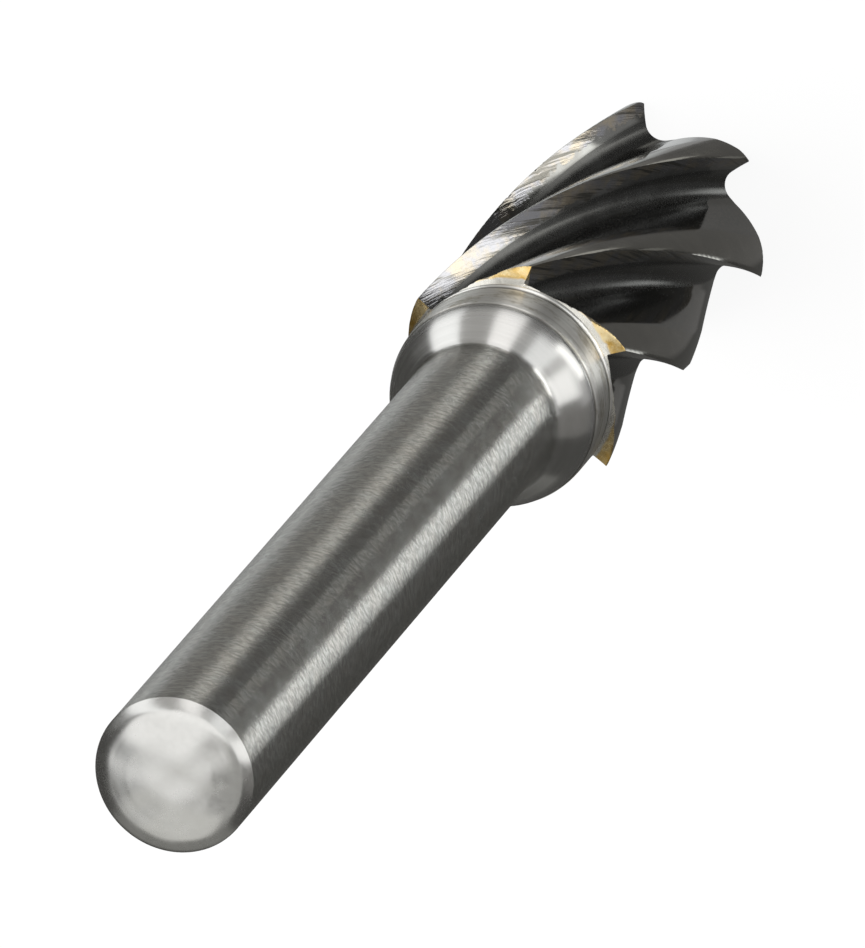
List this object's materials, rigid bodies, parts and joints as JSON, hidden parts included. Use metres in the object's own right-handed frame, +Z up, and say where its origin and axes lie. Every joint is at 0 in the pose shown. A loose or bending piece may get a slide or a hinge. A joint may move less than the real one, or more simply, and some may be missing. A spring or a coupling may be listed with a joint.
{
  "type": "carbide burr",
  "caption": "Cylindrical carbide burr for aluminium: coarse right-hand helical teeth, brazed to a round steel shank with a flared collar.",
  "frame": {"origin": "centre of the cutting head's flat end face, which the burr stands on", "axes": "+Z runs up the tool's axis from the head to the shank's tail; +X is 12.8 degrees clockwise, seen from above, of one tooth tip on the end face"},
  "size_m": [0.0096, 0.0096, 0.064],
  "materials": {
    "carbide": "ground sintered carbide, dark grey",
    "braze": "bright ground braze metal",
    "shank_steel": "finely ground steel"
  },
  "bodies": {
    "root": {"cutter_head": "carbide", "braze_layer": "braze", "shank": "shank_steel"}
  },
  "joints": []
}
